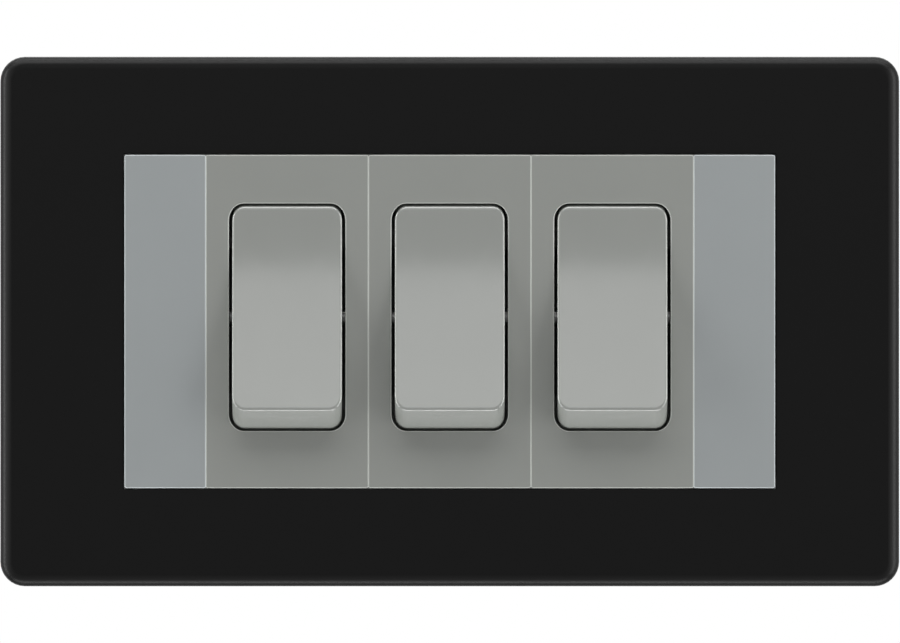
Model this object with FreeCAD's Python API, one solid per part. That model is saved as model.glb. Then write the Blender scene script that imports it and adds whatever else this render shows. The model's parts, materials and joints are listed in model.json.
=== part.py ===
import FreeCAD, Part
import math
import os

# Double grid switch plate: a pressed metal front plate over a steel grid frame that holds three rocker
# switch modules and two half-width blanks. X is to the right, Z is up and the face looks along -Y.
# The origin is the middle of the plate on the wall's surface. Lengths are in millimetres.

V = FreeCAD.Vector
same_place = 0.0001     # two coordinates that differ by less than this count as equal

# Rocker: the end walls are arcs about the pivot and the front is a shallow dish
pivot_height = 0.7
pivot_depth = 9.8
rocker_travel_deg = 14.0
rocker_width = 17.8
rocker_end_radius = 20.54
rocker_ridge_depth = 12.0
rocker_dish = 1.17
rocker_skirt_depth = 6.35
rocker_wall = 1.6
rocker_corner = 2.0
rocker_edge = 0.35
rocker_rib = 1.0
ear_radius = 3.5
ear_root = 6.0
trunnion_radius = 1.5
trunnion_engagement = 1.45
trunnion_clearance = 0.05

# Bezel: the face of a module, and the neck that passes through the grid frame
rocker_side_gap = 0.55
rocker_end_gap = 0.36
bezel_corner = 2.4
bezel_side = 3.7
bezel_flange = 4.05
module_gap = 0.1
module_count = 3
neck_end_wall = 1.4
neck_side_gap = 0.8
neck_behind_pivot = 2.5
deck_thickness = 1.5
barb_width = 4.0
barb_offset = 7.0
barb_length = 1.5
barb_taper = 1.0
barb_height = 0.8
barb_clearance = 0.05
key_width = 3.0
key_height = 0.9
key_clearance = 0.1
flange_core_height = 1.6
flange_core_depth = 2.4
face_proud = 0.3
face_edge = 0.3

# Blank
blank_extra_height = 0.2
blank_wall = 1.6
blank_end_wall = 2.4
blank_leg_width = 6.0
blank_leg_thickness = 1.6

# Front plate
plate_border_side = 20.05
plate_border_end = 15.8
plate_depth = 5.0
plate_metal = 1.0
plate_corner = 4.0
plate_edge = 2.0
plate_inner_chamfer = 0.7
opening_clearance = 0.15

# Grid frame of sheet steel
grid_side_inset = 6.0
grid_end_inset = 5.0
grid_sheet = 1.2
grid_corner = 3.0
grid_clearance = 0.15
fixing_inset = 6.7
fixing_slot = 2.0

# Moulded clip frame between the front plate and the grid frame
clip_clearance = 0.3
clip_window_margin = 1.1
clip_chamfer = 1.2
clip_pocket_depth = 1.8
clip_pocket_width = 11.0
clip_pocket_height = 25.0
clip_pocket_centre = 21.0

# Screws that hold the grid frame to the wall box
fixing_shank = 3.5
fixing_neck = 3.0
fixing_hole = 3.9
fixing_head = 6.8
fixing_head_height = 2.0
fixing_reach = 16.0
fixing_head_clearance = 0.8
screw_slot_width = 0.9
screw_slot_depth = 0.9

# Spring and plunger in the rocker's square tube
tube_width = 6.0
tube_back = 4.0
tube_floor = 2.2
bore_width = 3.7
plunger_clearance = 0.1
plunger_start = 0.5
plunger_tip_radius = 1.2
plunger_reach = 12.0
spring_wire = 0.5
spring_clearance = 0.12
spring_end_clearance = 0.05

# Moving contact: a seesaw on a knife edge
seesaw_travel_deg = 10.0
seesaw_gap = 0.1
seesaw_thickness = 0.6
seesaw_width = 5.0
seesaw_length = 18.6
contact_offset = 8.0
contact_width = 3.0
contact_length = 2.6
contact_height = 0.5
contact_clearance = 0.05
knife_half_base = 1.2
knife_clearance = 0.02
stop_length = 3.0

# Terminals
fixed_contact_length = 3.0
fixed_contact_height = 0.8
strip_thickness = 0.6
strip_width = 4.0
knife_foot = 3.0
pillar_width = 7.6
pillar_height = 8.0
wire_bore = 3.8
wire_depth = 3.3
terminal_screw = 3.5
terminal_screw_proud = 0.6
terminal_screw_backed_out = 0.3
terminal_screw_clearance = 0.05

# Housing
housing_floor = 1.6
housing_corner = 1.0
housing_wall = 1.2
chamber_play = 2.0
terminal_play = 0.2
terminal_side_play = 0.1
screw_access = 5.2
wire_access = 5.0
arm_clearance = 0.05
arm_play = 0.15
arm_width = 6.0
arm_height = 14.0
arm_reach = 4.4
arm_foot = 2.0
nub_width = 3.0
nub_length = 1.4
nub_height = 0.5
nub_clearance = 0.1
nub_setback = 2.6

# Earth terminal on the back of the grid frame
earth_x = -40.0
earth_size = 7.6
earth_height = 8.5
earth_bore = 4.2
earth_bore_depth = 3.6

# Sizes across the row that follow from the rocker
rocker_opening_width = rocker_width + 2 * rocker_side_gap
rocker_opening_radius = rocker_end_radius + rocker_end_gap
bezel_width = rocker_opening_width + 2 * bezel_side
module_pitch = bezel_width + module_gap
neck_width = module_pitch - 2 * neck_side_gap
neck_height = 2 * (rocker_opening_radius + pivot_height + neck_end_wall)
bezel_height = neck_height + 2 * bezel_flange
blank_width = (module_pitch - module_gap) / 2
blank_height = bezel_height + blank_extra_height
row_width = module_pitch * (module_count + 1)
module_x = [module_pitch * (i - (module_count - 1) / 2) for i in range(module_count)]
module_names = ["left", "centre", "right"]
blank_x = (row_width - module_pitch / 2) / 2
opening_width = row_width + 2 * opening_clearance
opening_height = bezel_height + 2 * opening_clearance
plate_width = opening_width + 2 * plate_border_side
plate_height = opening_height + 2 * plate_border_end
grid_width = plate_width - 2 * grid_side_inset
grid_height = plate_height - 2 * grid_end_inset
grid_window_width = row_width + 2 * grid_clearance
grid_window_height = neck_height + 2 * grid_clearance
fixing_centres = grid_width - 2 * fixing_inset
earth_z = -(grid_window_height + grid_height) / 4

# Levels from front to back
face_y = -(plate_depth + face_proud)
plate_inner_y = -(plate_depth - plate_metal)
grid_y = -grid_sheet
pivot_y = face_y + pivot_depth
neck_end_y = pivot_y + neck_behind_pivot
deck_y = neck_end_y - deck_thickness
rest_tilt = -rocker_travel_deg / 2
rest_seesaw = seesaw_travel_deg / 2
seesaw_axis_y = pivot_y + plunger_reach + seesaw_gap + seesaw_thickness
seesaw_slope = math.sin(math.radians(rest_seesaw))
closed_lift = (contact_offset + contact_length / 2) * seesaw_slope
stop_lift = (contact_offset + stop_length / 2) * seesaw_slope
fixed_face_y = seesaw_axis_y + contact_height + closed_lift + contact_clearance
stop_y = seesaw_axis_y + stop_lift + contact_clearance
strip_y = fixed_face_y + fixed_contact_height
floor_y = strip_y + strip_thickness
housing_end_y = floor_y + housing_floor
pillar_y = floor_y - pillar_height
wire_y = pillar_y + wire_depth
nub_y = neck_end_y - nub_setback

# Places along a module
chamber_half = seesaw_length / 2 + pivot_height + chamber_play
pocket_start = chamber_half + housing_wall
pocket_end = neck_height / 2 - housing_wall
pillar_start = pocket_start + terminal_play
pillar_end = pocket_end - terminal_play
pillar_z = (pillar_start + pillar_end) / 2
arm_thickness = neck_side_gap - arm_clearance - arm_play


def block(x0, x1, y0, y1, z0, z1):
    """A box between two corners."""
    return Part.makeBox(x1 - x0, y1 - y0, z1 - z0, V(x0, y0, z0))


def rod(radius, start, end):
    """A round bar from one point to another."""
    along = end - start
    return Part.makeCylinder(radius, along.Length, start, along)


def slab(width, height, corner, y0, y1):
    """A rounded rectangle in the plane of the wall, given thickness along Y."""
    body = block(-width / 2, width / 2, y0, y1, -height / 2, height / 2)
    return body.makeFillet(corner, upright_edges(body))


def upright_edges(body):
    """The edges of a box that run along Y."""
    return [e for e in body.Edges if abs(e.tangentAt(e.FirstParameter).y) > 0.99]


def edges_at(body, level):
    """The edges of a body that lie in the plane y = level."""
    found = []
    for edge in body.Edges:
        box = edge.BoundBox
        if abs(box.YMin - level) < same_place and abs(box.YMax - level) < same_place:
            found.append(edge)
    return found


def wedge(x_middle, width, points):
    """A prism along X whose section is given as points (y, z)."""
    corners = [V(x_middle - width / 2, y, z) for y, z in points]
    face = Part.Face(Part.makePolygon(corners + [corners[0]]))
    return face.extrude(V(width, 0, 0))


def mirrored_z(body):
    """The same body upside down."""
    return body.mirror(V(0, 0, 0), V(0, 0, 1))


def mirrored_x(body):
    """The same body left to right."""
    return body.mirror(V(0, 0, 0), V(1, 0, 0))


def moved(body, x):
    """A copy of a body, moved along the row."""
    placed = body.copy()
    placed.translate(V(x, 0, 0))
    return placed


def save(name, *solids):
    """Write one sub-part, as one solid or a group of separate solids."""
    shape = solids[0] if len(solids) == 1 else Part.makeCompound(list(solids))
    shape.exportStep(f"parts/{name}.step")


# Front plate and frames

def front_plate():
    """A pressed pan with a rounded rim and one wide opening."""
    outer = slab(plate_width, plate_height, plate_corner, -plate_depth, 0)
    outer = outer.makeFillet(plate_edge, edges_at(outer, -plate_depth))
    inside_width = plate_width - 2 * plate_metal
    inside_height = plate_height - 2 * plate_metal
    inner = slab(inside_width, inside_height, plate_corner - plate_metal, plate_inner_y, plate_depth)
    inner = inner.makeChamfer(plate_inner_chamfer, edges_at(inner, plate_inner_y))
    x = opening_width / 2
    z = opening_height / 2
    opening = block(-x, x, -plate_depth, 0, -z, z)
    return outer.cut(inner).cut(opening)


def clip_frame():
    """A moulded ring on the grid frame, cored from the front, with room for the fixing screws' heads."""
    width = plate_width - 2 * plate_metal - 2 * clip_clearance
    height = plate_height - 2 * plate_metal - 2 * clip_clearance
    ring = slab(width, height, plate_corner - plate_metal, plate_inner_y, 0)
    ring = ring.makeChamfer(clip_chamfer, edges_at(ring, plate_inner_y))
    half_width = opening_width / 2 + clip_window_margin
    half_height = opening_height / 2 + clip_window_margin
    ring = ring.cut(block(-half_width, half_width, plate_inner_y, 0, -half_height, half_height))
    seat = slab(grid_width + 2 * grid_clearance, grid_height + 2 * grid_clearance, grid_corner,
                grid_y, plate_depth)
    ring = ring.cut(seat)
    head_room = fixing_head / 2 + fixing_head_clearance
    for side in (-1, 1):
        x = side * fixing_centres / 2
        ring = ring.cut(block(x - head_room, x + head_room, plate_inner_y, 0, -head_room, head_room))
        for end in (-1, 1):
            z = end * clip_pocket_centre
            pocket = block(x - clip_pocket_width / 2, x + clip_pocket_width / 2,
                           plate_inner_y, plate_inner_y + clip_pocket_depth,
                           z - clip_pocket_height / 2, z + clip_pocket_height / 2)
            ring = ring.cut(pocket)
    return ring


def grid_frame():
    """The steel yoke: one long window, a round and a slotted fixing hole, and key notches."""
    yoke = slab(grid_width, grid_height, grid_corner, grid_y, 0)
    half_width = grid_window_width / 2
    half_height = grid_window_height / 2
    yoke = yoke.cut(block(-half_width, half_width, grid_y, 0, -half_height, half_height))
    radius = fixing_hole / 2
    x = fixing_centres / 2
    for centre in (-x, x - fixing_slot / 2, x + fixing_slot / 2):
        yoke = yoke.cut(rod(radius, V(centre, grid_y, 0), V(centre, 0, 0)))
    yoke = yoke.cut(block(x - fixing_slot / 2, x + fixing_slot / 2, grid_y, 0, -radius, radius))
    half_key = key_width / 2 + key_clearance
    key_end = neck_height / 2 + key_height + key_clearance
    for x in module_x:
        yoke = yoke.cut(block(x - half_key, x + half_key, grid_y, 0, -key_end, key_end))
    return yoke


def fixing_screw(x):
    """A slotted screw that clamps the grid frame to the wall box, with a thinner plain neck in the
    sheet's hole."""
    seat = V(x, grid_y, 0)
    top = seat - V(0, fixing_head_height, 0)
    wall = V(x, 0, 0)
    end = V(x, fixing_reach, 0)
    body = rod(fixing_head / 2, top, seat).fuse(rod(fixing_neck / 2, seat, wall))
    body = body.fuse(rod(fixing_shank / 2, wall, end))
    slot = block(x - fixing_head, x + fixing_head, top.y - 1, top.y + screw_slot_depth,
                 -screw_slot_width / 2, screw_slot_width / 2)
    return body.cut(slot)


def earth_terminal():
    """A brass block staked to the back of the grid frame, with a wire bore along Z."""
    half = earth_size / 2
    low = earth_z - half
    high = earth_z + half
    body = block(earth_x - half, earth_x + half, 0, earth_height, low, high)
    y = earth_bore_depth
    body = body.cut(rod(earth_bore / 2, V(earth_x, y, low), V(earth_x, y, high)))
    hole = terminal_screw / 2 + terminal_screw_clearance
    return body.cut(rod(hole, V(earth_x, y, earth_z), V(earth_x, earth_height, earth_z)))


def backed_out_screw(x, z, face, bore_y, bore):
    """A headless screw put in from behind, its tip just clear of the wire bore."""
    tip = V(x, bore_y + bore / 2 + terminal_screw_backed_out, z)
    end = V(x, face + terminal_screw_proud, z)
    slot = block(x - terminal_screw, x + terminal_screw, end.y - screw_slot_depth, end.y + 1,
                 z - screw_slot_width / 2, z + screw_slot_width / 2)
    return rod(terminal_screw / 2, tip, end).cut(slot)


# Blanks

def blank():
    """A half-width cap with two legs that hook behind the grid frame."""
    half_width = blank_width / 2
    half_height = blank_height / 2
    cap = block(-half_width, half_width, face_y, grid_y, -half_height, half_height)
    cap = cap.makeChamfer(face_edge, edges_at(cap, face_y))
    floor = face_y + blank_wall
    cap = cap.cut(block(-half_width + blank_wall, half_width - blank_wall, floor, grid_y,
                        -half_height + blank_end_wall, half_height - blank_end_wall))
    outside = neck_height / 2
    inside = outside - blank_leg_thickness
    front = barb_clearance
    back = front + barb_length
    root = floor - blank_wall / 2
    leg = wedge(0, blank_leg_width, [
        (root, inside), (back, inside), (back, outside - barb_height / 2),
        (front, outside + barb_height), (front, outside), (root, outside)])
    return cap.fuse(leg).fuse(mirrored_z(leg)).removeSplitter()


# Rocker

def rocker_form(end_radius, ridge_depth, dish, back_depth, width):
    """The rocker's outline about its pivot: a dished front between two end walls that are arcs
    about the pivot, cut off flat behind."""
    ridge = math.sqrt(end_radius ** 2 - ridge_depth ** 2)
    tail = math.sqrt(end_radius ** 2 - back_depth ** 2)
    middle = (math.atan2(ridge, ridge_depth) + math.atan2(tail, back_depth)) / 2
    bulge_y = -end_radius * math.cos(middle)
    bulge_z = end_radius * math.sin(middle)
    x = -width / 2
    front = Part.Arc(V(x, -ridge_depth, ridge), V(x, dish - ridge_depth, 0), V(x, -ridge_depth, -ridge))
    low = Part.Arc(V(x, -ridge_depth, -ridge), V(x, bulge_y, -bulge_z), V(x, -back_depth, -tail))
    rear = Part.LineSegment(V(x, -back_depth, -tail), V(x, -back_depth, tail))
    high = Part.Arc(V(x, -back_depth, tail), V(x, bulge_y, bulge_z), V(x, -ridge_depth, ridge))
    wire = Part.Wire([c.toShape() for c in (front, low, rear, high)])
    return Part.Face(wire).extrude(V(width, 0, 0))


def end_edges(form):
    """The four curved edges where a rocker form's end walls meet its sides."""
    found = []
    for edge in form.Edges:
        curve = edge.Curve
        flat = edge.BoundBox.XLength < same_place
        if flat and hasattr(curve, "Radius") and abs(curve.Center.y) < same_place:
            found.append(edge)
    return found


def rocker():
    """The rocker about its pivot, in the middle of its travel: a hollow shell with a rib, two ears
    that carry the trunnions, and a square tube for the spring and plunger."""
    outer = rocker_form(rocker_end_radius, rocker_ridge_depth, rocker_dish, rocker_skirt_depth, rocker_width)
    outer = outer.makeFillet(rocker_corner, end_edges(outer))
    front = min(outer.Faces, key=lambda f: f.CenterOfMass.y)
    outer = outer.makeChamfer(rocker_edge, front.Edges)
    hollow = rocker_form(rocker_end_radius - rocker_wall, rocker_ridge_depth - rocker_wall, rocker_dish,
                         rocker_skirt_depth - rocker_wall, rocker_width - 2 * rocker_wall)
    rib = block(-rocker_rib / 2, rocker_rib / 2, -rocker_ridge_depth, -rocker_skirt_depth,
                -rocker_end_radius, rocker_end_radius).common(outer)
    body = outer.cut(hollow).fuse(rib)
    root_y = -(rocker_ridge_depth - rocker_dish - rocker_wall / 2)
    ear_x = (rocker_width - rocker_wall) / 2
    ear_outline = [(root_y, -ear_root), (root_y, ear_root), (0, ear_radius), (0, -ear_radius)]
    ear = wedge(ear_x, rocker_wall, ear_outline)
    ear = ear.fuse(rod(ear_radius, V(ear_x - rocker_wall / 2, 0, 0), V(ear_x + rocker_wall / 2, 0, 0)))
    tip_x = rocker_width / 2 + rocker_side_gap + trunnion_engagement
    ear = ear.fuse(rod(trunnion_radius, V(ear_x, 0, 0), V(tip_x, 0, 0)))
    body = body.fuse(ear).fuse(mirrored_x(ear))
    half_tube = tube_width / 2
    body = body.fuse(block(-half_tube, half_tube, root_y, tube_back, -half_tube, half_tube))
    half_bore = bore_width / 2
    body = body.cut(block(-half_bore, half_bore, bore_end_y(), tube_back, -half_bore, half_bore))
    return body.removeSplitter()


def bore_end_y():
    """The closed end of the rocker's tube, measured from the pivot."""
    return -(rocker_ridge_depth - rocker_dish - rocker_wall - tube_floor)


def spring():
    """The plunger's compression spring, drawn as a sleeve of the coil's outer and inner size."""
    radius = bore_width / 2 - spring_clearance
    start = V(0, bore_end_y() + spring_end_clearance, 0)
    end = V(0, -plunger_start - spring_end_clearance, 0)
    return rod(radius, start, end).cut(rod(radius - spring_wire, start, end))


def plunger():
    """A square nylon pin with a round nose that slides in the rocker's tube."""
    half = bore_width / 2 - plunger_clearance
    centre = plunger_reach - plunger_tip_radius
    shoulder = centre - (half - plunger_tip_radius)
    corners = [V(-half, -plunger_start, -half), V(-half, shoulder, -half),
               V(-half, centre, -plunger_tip_radius), V(-half, centre, plunger_tip_radius),
               V(-half, shoulder, half), V(-half, -plunger_start, half)]
    nose = Part.Arc(corners[2], V(-half, plunger_reach, 0), corners[3])
    sides = [Part.LineSegment(corners[i - 1], corners[i]) for i in (0, 1, 2, 4, 5)]
    outline = Part.Wire(Part.__sortEdges__([s.toShape() for s in sides] + [nose.toShape()]))
    return Part.Face(outline).extrude(V(2 * half, 0, 0))


def on_rocker(body, x):
    """Place a body made about the pivot into its module, at the rest position."""
    placed = body.copy()
    placed.rotate(V(0, 0, 0), V(1, 0, 0), rest_tilt)
    placed.translate(V(x, pivot_y, pivot_height))
    return placed


# Bezel and housing

def bezel():
    """A module's face and neck, with the rocker's opening, its bearings and the snap barbs."""
    half_width = bezel_width / 2
    half_height = bezel_height / 2
    half_neck = neck_height / 2
    neck_x = neck_width / 2
    body = block(-half_width, half_width, face_y, grid_y, -half_height, half_height)
    body = body.fuse(block(-neck_x, neck_x, grid_y, neck_end_y, -half_neck, half_neck))
    body = body.makeChamfer(face_edge, edges_at(body, face_y))
    opening_x = rocker_opening_width / 2
    left_end = V(-opening_x, pivot_y, pivot_height)
    right_end = V(opening_x, pivot_y, pivot_height)
    sweep = rod(rocker_opening_radius, left_end, right_end)
    rounded = sweep.makeFillet(bezel_corner, [e for e in sweep.Edges if e.BoundBox.XLength < same_place])
    front = block(-neck_x, neck_x, pivot_y - pivot_depth, grid_y, -half_neck, half_neck)
    rear = block(-neck_x, neck_x, grid_y, deck_y, -half_neck, half_neck)
    body = body.cut(rounded.common(front)).cut(sweep.common(rear))
    body = body.cut(block(-opening_x, opening_x, deck_y, neck_end_y, -chamber_half, chamber_half))
    body = body.cut(rod(trunnion_radius + trunnion_clearance, V(-neck_x, pivot_y, pivot_height),
                        V(neck_x, pivot_y, pivot_height)))
    root_z = half_neck - neck_end_wall / 2
    key = block(-key_width / 2, key_width / 2, grid_y, 0, root_z, half_neck + key_height)
    core_z = (half_height + half_neck) / 2
    core = block(-neck_x + key_width, neck_x - key_width, grid_y - flange_core_depth, grid_y,
                 core_z - flange_core_height / 2, core_z + flange_core_height / 2)
    front_y = barb_clearance
    back_y = front_y + barb_length + barb_taper
    barb = [(back_y, root_z), (back_y, half_neck), (front_y, half_neck + barb_height), (front_y, root_z)]
    for piece in [key] + [wedge(side * barb_offset, barb_width, barb) for side in (-1, 1)]:
        body = body.fuse(piece).fuse(mirrored_z(piece))
    body = body.cut(core).cut(mirrored_z(core))
    nub = block(neck_x - neck_side_gap, neck_x + nub_height, nub_y - nub_length / 2, nub_y + nub_length / 2,
                arm_height - nub_width / 2, arm_height + nub_width / 2)
    for piece in (nub, mirrored_z(nub), mirrored_x(nub), mirrored_x(mirrored_z(nub))):
        body = body.fuse(piece)
    return body.removeSplitter()


def housing():
    """The moulded tray behind the bezel: a middle chamber for the moving contact, a pocket for a
    terminal at each end, windows for screws and wires, and four arms that clip over the bezel."""
    half_width = neck_width / 2
    half_height = neck_height / 2
    inner = half_width - housing_wall
    body = block(-half_width, half_width, neck_end_y, housing_end_y, -half_height, half_height)
    body = body.makeChamfer(housing_corner, upright_edges(body))
    body = body.cut(block(-inner, inner, neck_end_y, floor_y, -chamber_half, chamber_half))
    half_pocket = pillar_width / 2 + terminal_side_play
    half_slot = strip_width / 2 + terminal_side_play
    half_screw = screw_access / 2
    half_wire = wire_access / 2
    side_start = half_pocket + housing_wall
    pieces = [
        block(-half_pocket, half_pocket, neck_end_y, floor_y, pocket_start, pocket_end),
        block(-half_slot, half_slot, strip_y - terminal_side_play, floor_y, chamber_half, pocket_start),
        block(-half_screw, half_screw, floor_y, housing_end_y, pillar_z - half_screw, pillar_z + half_screw),
        block(-half_wire, half_wire, wire_y - half_wire, wire_y + half_wire, pocket_end, half_height),
        block(side_start, inner, neck_end_y, floor_y, pocket_start, pocket_end),
        block(-inner, -side_start, neck_end_y, floor_y, pocket_start, pocket_end),
    ]
    for piece in pieces:
        body = body.cut(piece).cut(mirrored_z(piece))
    near = half_width + arm_clearance
    far = near + arm_thickness
    low = arm_height - arm_width / 2
    high = arm_height + arm_width / 2
    root_y = neck_end_y + arm_foot / 2
    foot_y = root_y + arm_foot
    arm = block(near, far, neck_end_y - arm_reach, foot_y, low, high)
    half_eye = nub_width / 2 + nub_clearance
    half_eye_length = nub_length / 2 + nub_clearance
    arm = arm.cut(block(near, far, nub_y - half_eye_length, nub_y + half_eye_length,
                        arm_height - half_eye, arm_height + half_eye))
    arm = arm.fuse(block(half_width - housing_wall / 2, far, root_y, foot_y, low, high))
    for piece in (arm, mirrored_z(arm), mirrored_x(arm), mirrored_x(mirrored_z(arm))):
        body = body.fuse(piece)
    return body.removeSplitter()


# Terminals and contacts

def pillar():
    """The upper brass terminal block, with a wire bore along Z and a screw hole from behind."""
    half = pillar_width / 2
    body = block(-half, half, pillar_y, floor_y, pillar_start, pillar_end)
    body = body.cut(rod(wire_bore / 2, V(0, wire_y, pillar_start), V(0, wire_y, pillar_end)))
    hole = terminal_screw / 2 + terminal_screw_clearance
    return body.cut(rod(hole, V(0, wire_y, pillar_z), V(0, floor_y, pillar_z)))


def line_terminal():
    """The upper terminal, with a strip down to the fixed contact."""
    half = strip_width / 2
    low = pivot_height + contact_offset - fixed_contact_length / 2
    strip = block(-half, half, strip_y, floor_y, low, pillar_start)
    return pillar().fuse(strip).removeSplitter()


def common_terminal():
    """The lower terminal, with a strip up to the knife edge and a raised stop on the way."""
    half = strip_width / 2
    strip = block(-half, half, strip_y, floor_y, -pillar_start, pivot_height + knife_foot / 2)
    knife = wedge(0, strip_width, [
        (strip_y, pivot_height - knife_half_base), (seesaw_axis_y + knife_clearance, pivot_height),
        (strip_y, pivot_height + knife_half_base)])
    stop_z = pivot_height - contact_offset
    stop = block(-half, half, stop_y, strip_y, stop_z - stop_length / 2, stop_z + stop_length / 2)
    return mirrored_z(pillar()).fuse(strip).fuse(knife).fuse(stop).removeSplitter()


def fixed_contact():
    """A bar of contact silver on the line terminal's strip."""
    half = contact_width / 2
    z = pivot_height + contact_offset
    half_length = fixed_contact_length / 2
    return block(-half, half, fixed_face_y, strip_y, z - half_length, z + half_length)


def moving_contact():
    """The seesaw strip, level, with its tipping axis on the knife edge."""
    half = seesaw_length / 2
    return block(-seesaw_width / 2, seesaw_width / 2, seesaw_axis_y - seesaw_thickness, seesaw_axis_y,
                 pivot_height - half, pivot_height + half)


def moving_tip():
    """A bar of contact silver on the back of the seesaw's upper end."""
    half = contact_width / 2
    z = pivot_height + contact_offset
    half_length = contact_length / 2
    back = seesaw_axis_y + contact_height
    return block(-half, half, seesaw_axis_y, back, z - half_length, z + half_length)


def on_seesaw(body, x):
    """Tip a level body to its rest position and move it into its module."""
    placed = body.copy()
    placed.rotate(V(0, seesaw_axis_y, pivot_height), V(1, 0, 0), rest_seesaw)
    placed.translate(V(x, 0, 0))
    return placed


def build():
    """Make every sub-part and write it."""
    os.makedirs("parts", exist_ok=True)
    save("front_plate", front_plate())
    save("clip_frame", clip_frame())
    save("grid_frame", grid_frame())
    save("fixing_screws", fixing_screw(-fixing_centres / 2), fixing_screw(fixing_centres / 2))
    save("earth_terminal", earth_terminal())
    save("earth_screw", backed_out_screw(earth_x, earth_z, earth_height, earth_bore_depth, earth_bore))
    save("blank_left", moved(blank(), -blank_x))
    save("blank_right", moved(blank(), blank_x))

    fixed_pieces = {
        "bezel": bezel(),
        "housing": housing(),
        "line_terminal": line_terminal(),
        "common_terminal": common_terminal(),
        "fixed_contact": fixed_contact(),
    }
    rocker_pieces = {"rocker": rocker(), "spring": spring(), "plunger": plunger()}
    seesaw_pieces = {"moving_contact": moving_contact(), "moving_tip": moving_tip()}
    for name, x in zip(module_names, module_x):
        for piece, body in fixed_pieces.items():
            save(f"{piece}_{name}", moved(body, x))
        for piece, body in rocker_pieces.items():
            save(f"{piece}_{name}", on_rocker(body, x))
        for piece, body in seesaw_pieces.items():
            save(f"{piece}_{name}", on_seesaw(body, x))
        screws = [backed_out_screw(x, end * pillar_z, floor_y, wire_y, wire_bore) for end in (1, -1)]
        save(f"terminal_screws_{name}", *screws)


build()
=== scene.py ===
# %% [markdown]
# # Grid switch plate
# A screwless wall plate of matt black metal holds three grey rocker switches in a row, with a
# half-width blank at each end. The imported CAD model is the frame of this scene: it has every solid
# of the real thing in metres, X to the right, Z up, and the face looks along -Y. This lesson gives
# the solids their finishes, and makes new surfaces for the pieces that the eye rests on, because a
# CAD solid has flat chamfers where a moulded or pressed piece has soft edges that catch the light.

# %% The frame
import json
import math

import bpy
import numpy as np
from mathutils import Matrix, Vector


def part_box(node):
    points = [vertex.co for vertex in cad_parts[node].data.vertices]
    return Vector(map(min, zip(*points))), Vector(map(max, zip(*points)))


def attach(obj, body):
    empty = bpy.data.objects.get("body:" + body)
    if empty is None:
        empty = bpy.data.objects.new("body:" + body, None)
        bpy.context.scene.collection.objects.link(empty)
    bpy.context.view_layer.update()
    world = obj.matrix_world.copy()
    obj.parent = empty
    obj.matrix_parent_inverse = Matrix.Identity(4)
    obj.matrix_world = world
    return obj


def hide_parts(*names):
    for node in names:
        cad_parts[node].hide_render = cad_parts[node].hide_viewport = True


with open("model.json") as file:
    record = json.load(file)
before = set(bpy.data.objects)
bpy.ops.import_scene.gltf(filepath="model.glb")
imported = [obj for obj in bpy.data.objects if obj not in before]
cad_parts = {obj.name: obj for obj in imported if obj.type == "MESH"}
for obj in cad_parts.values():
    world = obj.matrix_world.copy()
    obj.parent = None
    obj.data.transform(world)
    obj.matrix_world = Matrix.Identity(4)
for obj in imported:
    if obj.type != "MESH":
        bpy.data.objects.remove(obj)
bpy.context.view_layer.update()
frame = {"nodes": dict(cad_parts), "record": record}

# %% [markdown]
# ## Sizes
# Every new piece has to stay where its solid is. The outer sizes are therefore read from the frame,
# and only what a box can't tell, such as a radius, is written here. It is easier to think of a
# light switch in millimetres, so all shapes are worked out in millimetres and turned into metres
# when a mesh is made.

# %% Sizes in millimetres
MM = 0.001


def corners(node):
    """The lowest and the highest corner of a CAD node, in millimetres."""
    return np.array([list(corner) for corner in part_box(node)]) / MM


def middle_x(node):
    """Where the middle of a CAD node lies along the row, in millimetres."""
    return float(corners(node)[:, 0].mean())


module_x = {side: middle_x(f"bezel_{side}") for side in ("left", "centre", "right")}
blank_x = {side: middle_x(f"blank_{side}") for side in ("left", "right")}
face_y = float(corners("bezel_centre")[0][1])   # the front of the bezels and blanks
sheet_y = -1.2                                  # the front of the grid frame
pivot = np.array([0.0, 4.5, 0.7])               # the trunnions' axis in a module
module_half_x = 13.199                          # 0.001 short of half the distance to the next one
module_half_z = 27.03                           # 0.17 short of the edge of the plate's opening
print("modules at x =", module_x, "face at y =", round(face_y, 2))

# %% [markdown]
# ## Skins
# A thin-walled piece can be drawn as a pile of outlines: each row of the pile goes once round the
# piece, and the rows run from the middle of the front over the edge and on to the back. Blender
# could cut the same shape from boxes, but then every edge would need its own bevel. With rows the
# edge is part of the surface, as it is in the mould, and one formula serves a plate, a bezel and a
# cap.


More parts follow.
